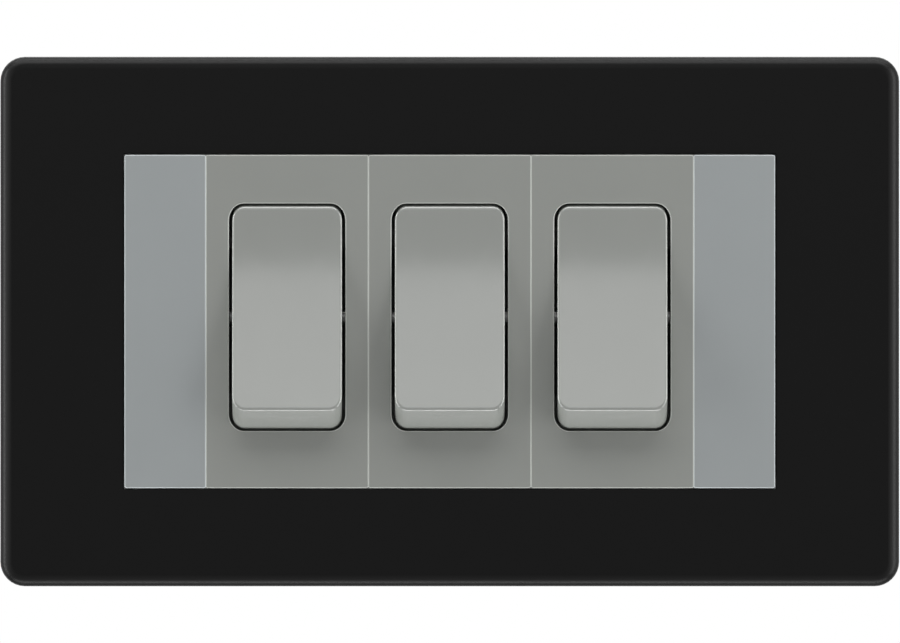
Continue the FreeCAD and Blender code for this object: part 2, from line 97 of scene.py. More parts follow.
# %% Rows of points become a closed skin
def skin(rows, ends="fan"):
    """Join rows of points, shape (rows, points, 3), into a closed skin.

    Face (i, j) joins points j and j + 1 of rows i and i + 1, and j wraps round. The two ends are
    closed by a fan of triangles to the end row's mean point ("fan"), by one flat face each
    ("flat"), or by joining the last row to the first ("loop"). The volume under the faces is a
    sixth of the sum of a . (b x c) over all triangles; where it is negative the faces point
    inwards, and all are turned round.
    """
    count, around = rows.shape[:2]
    points = rows.reshape(-1, 3)
    here = np.arange(around)
    after = np.roll(here, -1)
    first = np.arange(count if ends == "loop" else count - 1)[:, None]
    low, high = first * around, (first + 1) % count * around
    quads = np.stack([low + here, low + after, high + after, high + here], -1).reshape(-1, 4)
    triangles = [quads[:, [0, 1, 2]], quads[:, [0, 2, 3]]]
    faces = quads.tolist()
    top = (count - 1) * around
    if ends == "flat":
        faces += [here[::-1].tolist(), (here + top).tolist()]
        near, far = here[1:-1], here[2:]
        triangles += [np.stack([0 * near, far, near], -1),
                      np.stack([0 * near, near, far], -1) + top]
    if ends == "fan":
        points = np.vstack([points, rows[0].mean(axis=0), rows[-1].mean(axis=0)])
        pole = np.full(around, count * around)
        fans = [np.stack([after, here, pole], -1),
                np.stack([here + top, after + top, pole + 1], -1)]
        faces += np.vstack(fans).tolist()
        triangles += fans
    a, b, c = points[np.vstack(triangles)].transpose(1, 0, 2)
    if np.sum(a * np.cross(b, c)) < 0:
        faces = [face[::-1] for face in faces]
    return points, faces


def joined(skins):
    """Put several skins into one list of points and one list of faces."""
    starts = np.cumsum([0] + [len(points) for points, _ in skins])
    faces = [[int(start) + i for i in face]
             for start, (_, part) in zip(starts, skins) for face in part]
    return np.vstack([points for points, _ in skins]), faces


# %% [markdown]
# ## Outlines
# The outlines of a plate, a bezel and a cap are all rounded rectangles, and they differ only in
# size and depth. So a row can be told by six numbers: half the width, half the height, the corner's
# two radii, the depth and the height of its middle. This text calls the six numbers a state.

# %% Rounded rectangles as rows
CORNER_STEPS = 8
SIDE_POINTS = 6
CORNER_X = np.array([1, -1, -1, 1])[:, None]      # on which side of the middle each corner lies
CORNER_Z = np.array([1, 1, -1, -1])[:, None]


def state(half_x, half_z, corner, depth, middle=0.0, corner_z=None):
    """The six numbers of one row."""
    corner_z = corner if corner_z is None else corner_z
    return np.array([half_x, half_z, corner, corner_z, depth, middle])


def with_sides(quarters):
    """Fill the straight sides between four corners, given as (rows, 4, points, values).

    A side point is (1 - w) * end of one corner + w * start of the next, with w in equal steps.
    """
    weight = (np.arange(SIDE_POINTS) + 1)[:, None] / (SIDE_POINTS + 1)
    end = quarters[:, :, -1:]
    start = np.roll(quarters[:, :, :1], -1, axis=1)
    sides = end * (1 - weight) + start * weight
    return np.concatenate([quarters, sides], axis=2).reshape(len(quarters), -1, quarters.shape[-1])


def corner_angles():
    """The angles of the points on the four corners, one row to a corner."""
    return np.linspace(0, np.pi / 2, CORNER_STEPS + 1) + np.arange(4)[:, None] * np.pi / 2


def outward():
    """The way outwards, (x, z), at each point of a row: (cos, sin) of its corner's angle."""
    angle = corner_angles()
    return with_sides(np.stack([np.cos(angle), np.sin(angle)], -1)[None])[0]


def outlines(states):
    """Rows of points from states.

    A corner point is (half - radius) * sign + radius * (cos, sin) of its angle.
    """
    half_x, half_z, round_x, round_z, depth, middle = np.array(states, float).T[:, :, None, None]
    angle = corner_angles()
    x = CORNER_X * (half_x - round_x) + round_x * np.cos(angle)
    z = CORNER_Z * (half_z - round_z) + round_z * np.sin(angle) + middle
    return with_sides(np.stack([x, depth + 0 * x, z], axis=-1))


print("points in a row:", len(outward()))

# %% [markdown]
# ## Rounded edges
# Every edge of a moulded or pressed piece is a small round, and light collects in it. A bevel in
# Blender would need each edge to be picked. Here an edge is a curve from one state to the next, so
# it is part of the pile of rows.

# %% A round from one state to the next
EDGE_STEPS = 6


def eased(before, corner, after, steps=EDGE_STEPS, run_out=0.1):
    """A rounded edge from before to after, past a sharp corner, for states or for rows of points.

    corner + (before - corner)(1 - sin t) + (after - corner)(1 - cos t), a quarter of an ellipse,
    with one more row a little beyond either end so that the flats next to it keep a flat shading.
    """
    t = np.linspace(0, np.pi / 2, steps + 1).reshape((-1,) + (1,) * np.ndim(corner))
    arc = corner + (before - corner) * (1 - np.sin(t)) + (after - corner) * (1 - np.cos(t))
    lead = before + (before - corner) * run_out
    tail = after + (after - corner) * run_out
    return np.concatenate([lead[None], arc, tail[None]])


def outer_edge(half_x, half_z, corner, depth, edge, steps=EDGE_STEPS, fall=1.0):
    """States round the front edge of a block with its face at this depth.

    The edge takes up its width on the face, and falls back by fall times its width.
    """
    return eased(state(half_x - edge, half_z - edge, corner - edge, depth),
                 state(half_x, half_z, corner, depth),
                 state(half_x, half_z, corner, depth + edge * fall), steps)


def arc_rows(lead, steps=EDGE_STEPS):
    """The rows of an edge's curve in a pile, or the first of them, where lead is its first row."""
    return slice(lead + 1, lead + steps + 2)


print("rows in an edge:", EDGE_STEPS + 3)

# %% [markdown]
# ## Finishes
# The plate has a fine powder coat, the blanks and bezels are satin mouldings with a spark-eroded
# grain, the rockers are smoother, and the hidden metal is rolled, plated or turned. One recipe
# serves them all: a fine noise lifts the surface by a few thousandths of a millimetre, a broad
# noise lets the roughness wander, and a broader one shifts the colour a little. The patterns follow
# Object coordinates in metres, so they stay on the piece as it moves. Some edges are painted
# paler, a painted highlight where the light would catch them. A noise can't know where an edge
# is, but the mesh does, so it carries a number at each point for the material to read.


# %% Nodes in one call
def add(tree, kind, inputs, **settings):
    """Add a node. inputs maps its sockets to values, or to the outputs that feed them."""
    node = tree.nodes.new(kind)
    for name, value in settings.items():
        setattr(node, name, value)
    for socket, source in inputs.items():
        if isinstance(source, bpy.types.NodeSocket):
            tree.links.new(source, node.inputs[socket])
        else:
            node.inputs[socket].default_value = source
    return node


def noise(tree, position, size, detail):
    """A noise that changes over about this many millimetres."""
    inputs = {"Vector": position, "Scale": 1 / (size * MM), "Detail": detail}
    return add(tree, "ShaderNodeTexNoise", inputs).outputs[0]


def spread(tree, source, low, high):
    """Stretch a noise, most of which lies between 0.3 and 0.7, from low to high."""
    inputs = {"Value": source, "From Min": 0.3, "From Max": 0.7, "To Min": low, "To Max": high}
    return add(tree, "ShaderNodeMapRange", inputs).outputs["Result"]


# %% [markdown]
# Sizes and tones are easier to compare in one table than in many calls, so a finish is one line of
# numbers there. What a line leaves out is that of a plain plastic.

# %% One recipe for every finish
ROUGHNESS_PATCH, COLOUR_PATCH = 25, 60      # how many grains wide the broad patterns are
GRAIN_DETAIL, PATCH_DETAIL = 3, 2


def finish(name, colour, roughness, grain, lift, metallic=0.0, specular=0.5, wander=0.05,
           shade=0.04, stretch=(1, 1, 1), edge=0.0):
    """A material. grain is the size of the surface's grain and lift its height, in millimetres.

    The roughness moves by +-wander and the colour by +-shade of itself. stretch packs the grain
    closer along an axis, so that it looks drawn out across it, as rolling leaves it. Where a
    mesh's attribute "edge" is 1, the colour is (1 + edge) times as pale: a painted highlight.
    """
    material = bpy.data.materials.new(name)
    material.use_nodes = True
    tree = material.node_tree
    shader = tree.nodes["Principled BSDF"]
    shader.inputs["Metallic"].default_value = metallic
    shader.inputs["Specular IOR Level"].default_value = specular

    own = add(tree, "ShaderNodeTexCoord", {}).outputs["Object"]
    place = add(tree, "ShaderNodeMapping", {"Vector": own, "Scale": stretch}).outputs["Vector"]
    fine = noise(tree, place, grain, GRAIN_DETAIL)
    bump = add(tree, "ShaderNodeBump", {"Height": fine, "Distance": lift * MM})
    broad = noise(tree, place, grain * ROUGHNESS_PATCH, PATCH_DETAIL)
    rough = spread(tree, broad, roughness - wander, roughness + wander)
    broader = noise(tree, place, grain * COLOUR_PATCH, PATCH_DETAIL)
    tone = spread(tree, broader, 1 - shade, 1 + shade)
    # Painted highlight: where a mesh's attribute "edge" is 1, its colour is made paler.
    if edge:
        painted_highlight = add(tree, "ShaderNodeAttribute", {}, attribute_name="edge").outputs["Fac"]
        tone = add(tree, "ShaderNodeMath", {0: painted_highlight, 1: edge, 2: tone},
                   operation="MULTIPLY_ADD").outputs["Value"]
    base = add(tree, "ShaderNodeVectorMath", {0: colour, "Scale": tone}, operation="SCALE")
    tree.links.new(base.outputs["Vector"], shader.inputs["Base Color"])
    tree.links.new(rough, shader.inputs["Roughness"])
    tree.links.new(bump.outputs["Normal"], shader.inputs["Normal"])
    return material


# The key edge is how much a painted highlight lightens the edges that a mesh marks.
COAT = {"specular": 0.1, "wander": 0.012, "edge": 14}
SATIN = {"specular": 0.4, "wander": 0.02, "shade": 0.01, "edge": 1.1}
SMOOTH = {"specular": 0.8, "wander": 0.01, "shade": 0.01, "edge": 0.5}
METAL = {"metallic": 1.0}
PLATED = {"metallic": 1.0, "wander": 0.10, "stretch": (1, 1, 6)}
TURNED = {"metallic": 1.0, "wander": 0.08}
ROLLED = {"metallic": 1.0, "wander": 0.08, "stretch": (5, 1, 1)}
recipes = {     # colour, roughness, grain and lift in millimetres, and what differs from plastic
    "plate_black": ((0.0012, 0.0012, 0.0012), 0.36, 0.16, 0.004, COAT),
    "clip_black": ((0.010, 0.010, 0.010), 0.55, 0.3, 0.01, {}),
    "zinc_steel": ((0.50, 0.51, 0.50), 0.38, 0.5, 0.006, PLATED),
    "screw_steel": ((0.52, 0.50, 0.44), 0.34, 0.3, 0.004, TURNED),
    "brass": ((0.72, 0.53, 0.22), 0.30, 0.3, 0.005, ROLLED),
    "copper": ((0.75, 0.42, 0.28), 0.32, 0.3, 0.004, ROLLED),
    "contact_silver": ((0.82, 0.81, 0.79), 0.36, 0.2, 0.004, METAL),
    "spring_steel": ((0.50, 0.50, 0.50), 0.30, 0.2, 0.002, METAL),
    "nylon": ((0.74, 0.72, 0.66), 0.42, 0.4, 0.006, {}),
    "housing_grey": ((0.30, 0.31, 0.305), 0.50, 0.22, 0.012, {}),
    "blank_grey": ((0.264, 0.282, 0.286), 0.40, 0.14, 0.003, SATIN),
    "bezel_grey": ((0.228, 0.236, 0.222), 0.40, 0.14, 0.003, SATIN),
    "rocker_grey": ((0.215, 0.225, 0.21), 0.14, 0.14, 0.002, SMOOTH),
}
finishes = {slot: finish(slot, *numbers, **more) for slot, (*numbers, more) in recipes.items()}
print("finishes:", len(finishes))

# %% [markdown]
# ## The CAD nodes
# The hidden solids come straight from the CAD model. Each takes the finish that the record names
# for it. Their edges are sharp there. A real moulding has a small radius on every edge, so the
# larger ones get one: Weld closes the loose triangles of the CAD mesh, and Bevel then rounds only
# true edges.

# %% Finishes on the CAD nodes
BROKEN_EDGE, SAME_POINT = 0.12, 0.001       # millimetres
TRUE_EDGE = 40                              # degrees
slot_of = {part["node"]: part["material_slot"] for part in frame["record"]["subparts"]}


def broken_edges(node, width):
    """Round the sharp edges of a CAD node by this many millimetres."""
    weld = node.modifiers.new("weld", "WELD")
    weld.merge_threshold = SAME_POINT * MM
    bevel = node.modifiers.new("edges", "BEVEL")
    bevel.width = width * MM
    bevel.segments = 2
    bevel.limit_method = "ANGLE"
    bevel.angle_limit = math.radians(TRUE_EDGE)
    bevel.harden_normals = False


for name, node in frame["nodes"].items():
    node.data.materials.clear()
    node.data.materials.append(finishes[slot_of[name]])
    if slot_of[name] in ("clip_black", "housing_grey", "zinc_steel", "brass"):
        broken_edges(node, BROKEN_EDGE)
print("nodes with a finish:", len(frame["nodes"]))

# %% [markdown]
# ## A piece of the object
# A new piece rides on the body of the solid that it stands for, hides that solid and names its
# material slot. Edges that turn by more than about 30 degrees stay sharp in the shading, and the
# finely divided round ones become smooth.

# %% Skins become a piece
SHARP_EDGE = 32             # degrees


def on_rows(rows, *edges):
    """1 for each point on the rows that the slices name, and 0 for the others."""
    value = np.zeros(rows.shape[:2])
    for edge in edges:
        value[edge] = 1
    return value.ravel()


def piece(name, node, skins, edge=()):
    """Make an object from skins in millimetres. It takes over the place of a CAD node.

    edge holds the attribute of that name, the mask of a painted highlight, for the first
    points, and the rest have 0.
    """
    points, faces = joined(skins)
    mesh = bpy.data.meshes.new(name)
    mesh.from_pydata(points * MM, [], faces)
    # The attribute "edge" carries the mask of a painted highlight.
    if len(edge):
        painted_highlight = np.zeros(len(points))
        painted_highlight[:len(edge)] = edge
        mesh.attributes.new("edge", "FLOAT", "POINT").data.foreach_set("value", painted_highlight)
    mesh.shade_smooth()
    mesh.set_sharp_from_angle(angle=math.radians(SHARP_EDGE))
    mesh.materials.append(finishes[slot_of[node]])
    made = bpy.data.objects.new(name, mesh)
    bpy.context.scene.collection.objects.link(made)
    bodies = frame["record"]["behaviour"]["bodies"]
    body = next(b for b, members in bodies.items() if node in members)
    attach(made, body)
    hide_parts(node)
    print(name, "faces:", len(faces))


# %% [markdown]
# ## Front plate
# The plate is pressed from 1 mm metal: flat in front, with a wide rounded rim that runs back to the
# wall, and one sharp-cornered opening. Its section is a thin hook, so the rows start inside the
# opening, cross the face, go round the rim, turn under at the wall and come back along the inside.
# The last row joins the first, which closes the skin like a picture frame.

# %% The plate's section
plate_metal = 1.0
plate_corner = 4.0
rim_round = 1.9
hollow_inset = 2.0          # where the hollow's front becomes flat, measured from the outside
foot_edge = 0.15            # the edge that lies on the wall
hole_half_x, hole_half_z, hole_corner, hole_edge = 52.95, 27.2, 0.2, 0.2
RIM_STEPS, HOLE_STEPS, FOOT_STEPS = 12, 4, 3
plate_low, plate_high = corners("front_plate")
half_x, half_z, plate_y = plate_high[0], plate_high[2], plate_low[1]


def plate_row(inset, y):
    """The plate's outline, drawn in by inset, at one depth."""
    return state(half_x - inset, half_z - inset, plate_corner - inset, y)


def hole_row(grow, y):
    """The outline of the plate's opening, let out by grow, at one depth."""
    return state(hole_half_x + grow, hole_half_z + grow, hole_corner + grow, y)


behind_y = plate_y + plate_metal
opening = eased(hole_row(0, plate_y + hole_edge), hole_row(0, plate_y),
                hole_row(hole_edge, plate_y), HOLE_STEPS)
rim = outer_edge(half_x, half_z, plate_corner, plate_y, rim_round, RIM_STEPS)
foot = eased(plate_row(0, -foot_edge), plate_row(0, 0), plate_row(foot_edge, 0), FOOT_STEPS, 0.0)
hollow = eased(plate_row(plate_metal, behind_y + plate_metal), plate_row(plate_metal, behind_y),
               plate_row(hollow_inset, behind_y))
plate_rows = outlines(np.vstack([opening, rim, foot, [plate_row(plate_metal, 0)], hollow,
                                 [hole_row(0, behind_y)]]))
print("rows of the plate:", len(plate_rows))

# %% [markdown]
# The coat is painted paler on the rim's shoulder, most at the sides and less at the bottom: a
# painted highlight on the rim. A painted mask would need an unwrapped mesh. Here the rows already
# run along the rim, so the mask is a product: a sine across the first steps of the rim's curve,
# times how far each point of a row faces sideways or down.

# %% Front plate
SHOULDER_STEPS = 8
sideways, upwards = outward().T
rim_highlight_weight = sideways ** 4 + 0.4 * np.minimum(upwards, 0) ** 4     # 1 at the sides, 0.4 at the bottom
across = np.sin(np.linspace(0, np.pi, SHOULDER_STEPS + 1))[:, None]
# A painted highlight along the rim's shoulder, strongest at the sides.
painted_rim_highlight = np.zeros(plate_rows.shape[:2])
painted_rim_highlight[arc_rows(len(opening), SHOULDER_STEPS)] = across * rim_highlight_weight
piece("plate", "front_plate", [skin(plate_rows, "loop")], painted_rim_highlight.ravel())

# %% [markdown]
# ## Bars and blocks
# Legs, hooks, stops and trunnions are straight bars. Blender has cubes and cylinders for them, but
# a bar drawn from its outline can be part of the same mesh as the moulding it belongs to.


# %% Bars and blocks
def prism(outline, x_low, x_high):
    """A bar along X with an outline of (y, z) points."""
    outline = np.array(outline, float)
    row = np.column_stack([np.zeros(len(outline)), outline])
    return skin(np.stack([row + [x_low, 0, 0], row + [x_high, 0, 0]]), "flat")


def block(x_low, x_high, y_low, y_high, z_low, z_high):
    """A box between two corners."""
    outline = [(y_low, z_low), (y_high, z_low), (y_high, z_high), (y_low, z_high)]
    return prism(outline, x_low, x_high)


def bar_along_x(radius, x_low, x_high, points=32):
    """A round bar on the X axis: radius * (cos, sin) of the angle."""
    angle = np.linspace(0, 2 * np.pi, points, endpoint=False)
    return prism(np.column_stack([radius * np.cos(angle), radius * np.sin(angle)]), x_low, x_high)


def mirrored(part, axis):
    """The same skin on the other side of the middle, with its faces turned back outwards."""
    points, faces = part
    points = points.copy()
    points[:, axis] *= -1
    return points, [face[::-1] for face in faces]


def moved(part, x, z=0.0):
    """The same skin, moved along X and Z."""
    points, faces = part
    return points + [x, 0, z], faces


# %% [markdown]
# ## Blanks
# A blank is a hollow cap that fills half a module, with a hooked leg at each end. The rows run from
# the middle of the face over the soft edge, down the sides, round the back edge and up into the
# hollow. A low rib along its outer side lies behind the plate, so that no daylight comes through
# the joint.

# %% Blanks
face_edge, face_fall = 0.12, 0.5
mould_corner = 0.3
blank_low, blank_high = corners("blank_right")
blank_half_x = (blank_high[0] - blank_low[0]) / 2 + 0.02       # closes the joint to the bezel
cap_wall, cap_end_wall, cap_floor = 1.6, 2.4, -3.7
middle_half_x, middle_half_z = 1.0, 15.0                       # the small row inside each flat
leg_root_y, leg_end_y, leg_half_x = -4.5, 1.55, 3.0
leg_low, leg_high, leg_bevel = 21.41, 23.01, 0.4
barb_y, barb_z = 0.05, 23.81

hollow_x, hollow_z = blank_half_x - cap_wall, module_half_z - cap_end_wall
cap_rows = outlines(np.vstack([
    [state(middle_half_x, middle_half_z, mould_corner, face_y)],
    outer_edge(blank_half_x, module_half_z, mould_corner, face_y, face_edge, fall=face_fall),
    [state(blank_half_x, module_half_z, mould_corner, sheet_y),
     state(hollow_x, hollow_z, mould_corner, sheet_y),
     state(hollow_x, hollow_z, mould_corner, cap_floor),
     state(middle_half_x, middle_half_z, mould_corner, cap_floor)],
]))
leg = prism([(leg_root_y, leg_low), (leg_end_y, leg_low), (leg_end_y, leg_high - leg_bevel),
             (barb_y, barb_z), (barb_y, leg_high), (leg_root_y, leg_high)],
            -leg_half_x, leg_half_x)
rib = block(x_low=6.3, x_high=6.85, y_low=-3.6, y_high=sheet_y, z_low=-24.5, z_high=24.5)
for side, x in blank_x.items():
    outer_rib = rib if x > 0 else mirrored(rib, 0)
    cap = [moved(part, x) for part in (skin(cap_rows), leg, mirrored(leg, 2), outer_rib)]
    # The cap's front edge carries a painted highlight.
    piece(f"cap_{side}", f"blank_{side}", cap, on_rows(cap_rows, arc_rows(1)))

# %% [markdown]
# ## Bezels
# A bezel is the face of a module. Its opening follows the rocker: the end walls are arcs about the
# trunnions, so the gap stays the same as the rocker swings. Behind the face a neck passes through
# the grid frame and ends in a deck with a square window. The rows go round this section once: over
# the opening's edge and the face, round the outside, down the neck, across its end, through the
# window and back up the opening's wall.

# %% The bezel's section
opening_half, opening_radius, opening_round = 9.45, 20.85, 2.4
lip_edge, below_lip = 0.15, 1.0
neck_half_x, neck_half_z, neck_end = 12.4, 23.01, 7.0
window_half_z, deck_front = 12.0, 5.5
WALL_ROWS = 8


def opening_at(y, grow=0.0):
    """The rocker's opening at one depth: half its height is the root of radius^2 - depth^2."""
    behind = min(y, pivot[1]) - pivot[1]
    end = math.sqrt((opening_radius + grow) ** 2 - behind ** 2)
    side = math.sqrt((opening_radius - opening_round) ** 2 - behind ** 2)
    return state(opening_half + grow, end, opening_round + grow, y, pivot[2], end - side)


lip = eased(opening_at(face_y + lip_edge), opening_at(face_y), opening_at(face_y, lip_edge),
            run_out=0.2)
outside = outer_edge(module_half_x, module_half_z, mould_corner, face_y, face_edge, fall=face_fall)
neck = [state(*halves, mould_corner, y) for halves, y in (
    ((module_half_x, module_half_z), sheet_y),
    ((neck_half_x, neck_half_z), sheet_y),
    ((neck_half_x, neck_half_z), neck_end),
    ((opening_half, window_half_z), neck_end),
    ((opening_half, window_half_z), deck_front),
)]
wall = [opening_at(y) for y in np.linspace(deck_front, face_y + below_lip, WALL_ROWS)]
bezel_rows = outlines(np.vstack([lip, outside, neck, wall]))
# The outside edge and the opening's lip carry a painted highlight.
bezel_painted_highlight = on_rows(bezel_rows, arc_rows(0), arc_rows(len(lip)))
print("rows of a bezel:", len(bezel_rows))

# %% [markdown]
# What catches a bezel on the grid frame is at its two ends: a stop in the middle, and a barbed hook
# at either side of it. The nubs on the neck's sides hold the housing.

# %% Bezels
catch_z = 22.3              # stops and hooks begin inside the neck's end wall
hook_end_y, hook_low_x, hook_high_x = 2.55, 5.0, 9.0
stop_half_x, stop_reach = 1.5, 0.9
hook = [(hook_end_y, catch_z), (hook_end_y, neck_half_z), (barb_y, barb_z), (barb_y, catch_z)]
stop = block(-stop_half_x, stop_half_x, sheet_y, 0.0, catch_z, neck_half_z + stop_reach)
nub = block(x_low=11.6, x_high=12.9, y_low=3.7, y_high=5.1, z_low=12.5, z_high=15.5)
catches = [stop, prism(hook, -hook_high_x, -hook_low_x), prism(hook, hook_low_x, hook_high_x),
           nub, mirrored(nub, 0)]
catches += [mirrored(part, 2) for part in catches]
for side, x in module_x.items():
    bezel = [moved(part, x) for part in [skin(bezel_rows, "loop"), *catches]]
    piece(f"face_{side}", f"bezel_{side}", bezel, bezel_painted_highlight)

# %% [markdown]
# ## Rockers
# The rocker is what the hand meets. Its front is a shallow dish, a piece of a large cylinder; its
# end walls are pieces of a smaller cylinder about the trunnions; and its four long corners are
# rounded. A grid over its outline does it: one row follows the edge where dish and walls meet, and
# rows on either side of it close in over the dish or run back along the walls.

# %% A shell about the trunnions
DISH_ROWS, REST_OF_WALL_ROWS = 14, 9
DISH_MIDDLE = 0.04          # how much of its full size the innermost row of the dish has


def rocker_shell(half_x, radius, round_off, ridge, sag, edge, back):
    """Rows from the middle of the dish, over the edge, down the walls to the back.

    The dish is the circle through the two ridges and its lowest point:
    y = centre + root(r^2 - z^2). A wall point keeps its distance from the axis as it goes back:
    z = root(distance^2 - y^2). Where both meet, y = (distance^2 + centre^2 - r^2) / (2 centre).
    """
    half_chord = math.sqrt(radius ** 2 - ridge ** 2)
    dish_radius = (half_chord ** 2 + sag ** 2) / (2 * sag)
    centre = sag - ridge - dish_radius

    def dish(z):
        return centre + np.sqrt(dish_radius ** 2 - z ** 2)

    angle = corner_angles()
    x = CORNER_X * (half_x - round_off) + round_off * np.cos(angle)
    distance = radius - round_off + round_off * np.abs(np.sin(angle))
    meet = (distance ** 2 + centre ** 2 - dish_radius ** 2) / (2 * centre)

    def outline_at(depth):
        z = CORNER_Z * np.sqrt(distance ** 2 - depth ** 2)
        return with_sides(np.stack([x, z], -1)[None])[0]

    outline = outline_at(meet)
    rim_y = dish(outline[:, 1])

    def over_dish(flat):
        return np.column_stack([flat[:, 0], dish(flat[:, 1]), flat[:, 1]])

    def wall_at(t):
        at = outline_at(meet + (back - meet) * t)
        return np.column_stack([at[:, 0], rim_y + (back - rim_y) * t, at[:, 1]])

    inner = outline - edge * 1.1 * outward()        # the dish's own rows end just before the edge
    drop = edge / (ridge + back) * 0.9              # the share of the wall that the edge takes up
    rows = [over_dish(inner * size) for size in np.linspace(DISH_MIDDLE, 1, DISH_ROWS)]
    rows += list(eased(over_dish(outline - edge * outward()),
                       np.column_stack([outline[:, 0], rim_y, outline[:, 1]]),
                       wall_at(drop), run_out=0.0))
    below_edge = drop * 1.2
    rows += [wall_at(t) for t in np.linspace(below_edge, 1, REST_OF_WALL_ROWS)]
    return np.array(rows)


# %% [markdown]
# The moulding is hollow, so the same function is called again for its inside, a wall thickness
# smaller. The long edges at both sides carry a painted highlight.

# %% The rocker's shell
rocker_half_x, rocker_radius, rocker_round = 8.9, 20.40, 2.0
rocker_wall, rocker_edge = 1.6, 0.32
ridge_depth, dish_sag, skirt_depth = 12.0, 1.17, 6.35
inside_round, inside_edge = 0.4, 0.1

outer_rows = rocker_shell(rocker_half_x, rocker_radius, rocker_round, ridge_depth, dish_sag,
                          rocker_edge, -skirt_depth)
inner_rows = rocker_shell(rocker_half_x - rocker_wall, rocker_radius - rocker_wall, inside_round,
                          ridge_depth - rocker_wall, dish_sag, inside_edge, -skirt_depth)
shell = skin(np.concatenate([outer_rows, inner_rows[::-1]]))
# A painted highlight on the long edges at both sides.
at_side = np.abs(outer_rows[..., 0]).ravel() > rocker_half_x - rocker_edge
rocker_painted_highlight = on_rows(outer_rows, arc_rows(DISH_ROWS)) * at_side
print("rows of a rocker:", len(outer_rows) + len(inner_rows))

# %% [markdown]
# On its back the rocker has a rib, a square tube for the spring, and two ears that carry the
# trunnions. They begin inside the dish's wall, so no gap can open where they meet it.

# %% What the rocker has on its back
root_y = -10.0
tube_half, tube_corner, tube_end = 3.0, 0.2, 4.0
tube_bore, bore_corner, bore_floor = 1.85, 0.1, -7.03
tube = skin(outlines([state(tube_half, tube_half, tube_corner, root_y),
                      state(tube_half, tube_half, tube_corner, tube_end),
                      state(tube_bore, tube_bore, bore_corner, tube_end),
                      state(tube_bore, tube_bore, bore_corner, bore_floor)]), "flat")

ear_low_x, ear_high_x, ear_root_half_z, ear_radius = 7.3, 8.8, 6.0, 3.5
trunnion_low_x, trunnion_high_x, trunnion_radius = 8.1, 10.9, 1.5
ear = [prism([(root_y, -ear_root_half_z), (root_y, ear_root_half_z), (0.0, ear_radius),
              (0.0, -ear_radius)], ear_low_x, ear_high_x),
       bar_along_x(ear_radius, ear_low_x, rocker_half_x),
       bar_along_x(trunnion_radius, trunnion_low_x, trunnion_high_x)]

rib_half_x, rib_half_z, rib_foot_z, rib_root_y, RIB_POINTS = 0.5, 15.9, 18.7, -11.4, 12
rib_z = np.linspace(-rib_half_z, rib_half_z, RIB_POINTS)
under_dish = np.column_stack([rib_root_y + dish_sag * (1 - (rib_z / rib_half_z) ** 2), rib_z])
rib = prism([(-skirt_depth, rib_foot_z), *under_dish[::-1], (-skirt_depth, -rib_foot_z)],
            -rib_half_x, rib_half_x)

# %% [markdown]
# All of it is drawn level about the trunnions, and is turned to the off position now, in which the
# top lies flush and the bottom stands proud.

# %% Rockers
rest_tilt = math.radians(-7)
rocker_parts = [shell, tube, rib, *ear, *[mirrored(part, 0) for part in ear]]


def on_rocker(part, x):
    """Turn a skin by the rest angle about the trunnions and put it into its module."""
    points, faces = part
    c, s = math.cos(rest_tilt), math.sin(rest_tilt)
    turned = points @ np.array([[1, 0, 0], [0, c, -s], [0, s, c]]).T
    return turned + pivot + [x, 0, 0], faces


for side, x in module_x.items():
    paddle = [on_rocker(part, x) for part in rocker_parts]
    piece(f"paddle_{side}", f"rocker_{side}", paddle, rocker_painted_highlight)

# %% [markdown]
# ## Springs
# A compression spring is a wire carried along a helix whose end turns lie close together. The CAD
# model has a plain sleeve there, because a helix costs thousands of faces in a solid. Here it is
# one formula.

# %% Springs
spring_turns, points_per_turn, points_round_wire = 8, 24, 10
wire, coil_clearance = 0.25, 0.12
coil = tube_bore - coil_clearance - wire
spring_low, spring_high = -6.98 + wire, -0.55 - wire        # to the middle of the wire


def spring_skin():
    """Carry a small circle along a helix: coil * (cos, sin) of the turn, and y in steps that are
    small in the closed end turns."""
    turn = np.linspace(0, spring_turns, spring_turns * points_per_turn + 1)
    y = np.interp(turn, [0, 1, spring_turns - 1, spring_turns],
                  [spring_low, spring_low + 2 * wire, spring_high - 2 * wire, spring_high])
    angle = 2 * np.pi * turn
    radial = np.stack([np.cos(angle), 0 * angle, np.sin(angle)], -1)
    line = coil * radial + np.stack([0 * y, y, 0 * y], -1)
    along = np.gradient(line, axis=0)
    along /= np.linalg.norm(along, axis=1)[:, None]
    side = np.cross(along, radial)
    circle = np.linspace(0, 2 * np.pi, points_round_wire, endpoint=False)[None, :, None]
    return skin(line[:, None] + wire * (np.cos(circle) * radial[:, None]
                                        + np.sin(circle) * side[:, None]), "flat")


for side, x in module_x.items():
    piece(f"coil_{side}", f"spring_{side}", [on_rocker(spring_skin(), x)])

# %% [markdown]
# ## Screws
# The fixing screws reach out of the back of the plate, and the terminal screws show in the
# housing's windows, so both get a real thread. A thread is a round bar whose radius rises and falls
# with the height minus the angle: the same wave, seen a little further on at each point round the
# bar. The slot is made by strips from side to side over the end, which step down to the slot's
# floor.

# %% A threaded and slotted bar
SIDE_POINTS_TO_SLOT = 7     # points from the top of the slotted end to the slot, on each side
FLOOR_POINTS = 4
FIRST_ANGLE = 0.12          # where the first of them lies, from +Z
PITCH, THREAD_DEPTH, ROWS_PER_TURN = 0.6, 0.3, 8


def screw_angles(radius, slot_width):
    """Angles from +Z round the bar, with a point at each edge of the slot, and which lie in it."""
    at = math.acos(slot_width / 2 / radius)
    upper = np.linspace(FIRST_ANGLE, at, SIDE_POINTS_TO_SLOT)
    floor = np.linspace(at, np.pi - at, FLOOR_POINTS)
    half = np.concatenate([upper, floor, np.pi - upper[::-1]])
    sunk = np.concatenate([0 * upper, 0 * floor + 1, 0 * upper])
    return np.concatenate([half, 2 * np.pi - half[::-1]]), np.concatenate([sunk, sunk[::-1]])


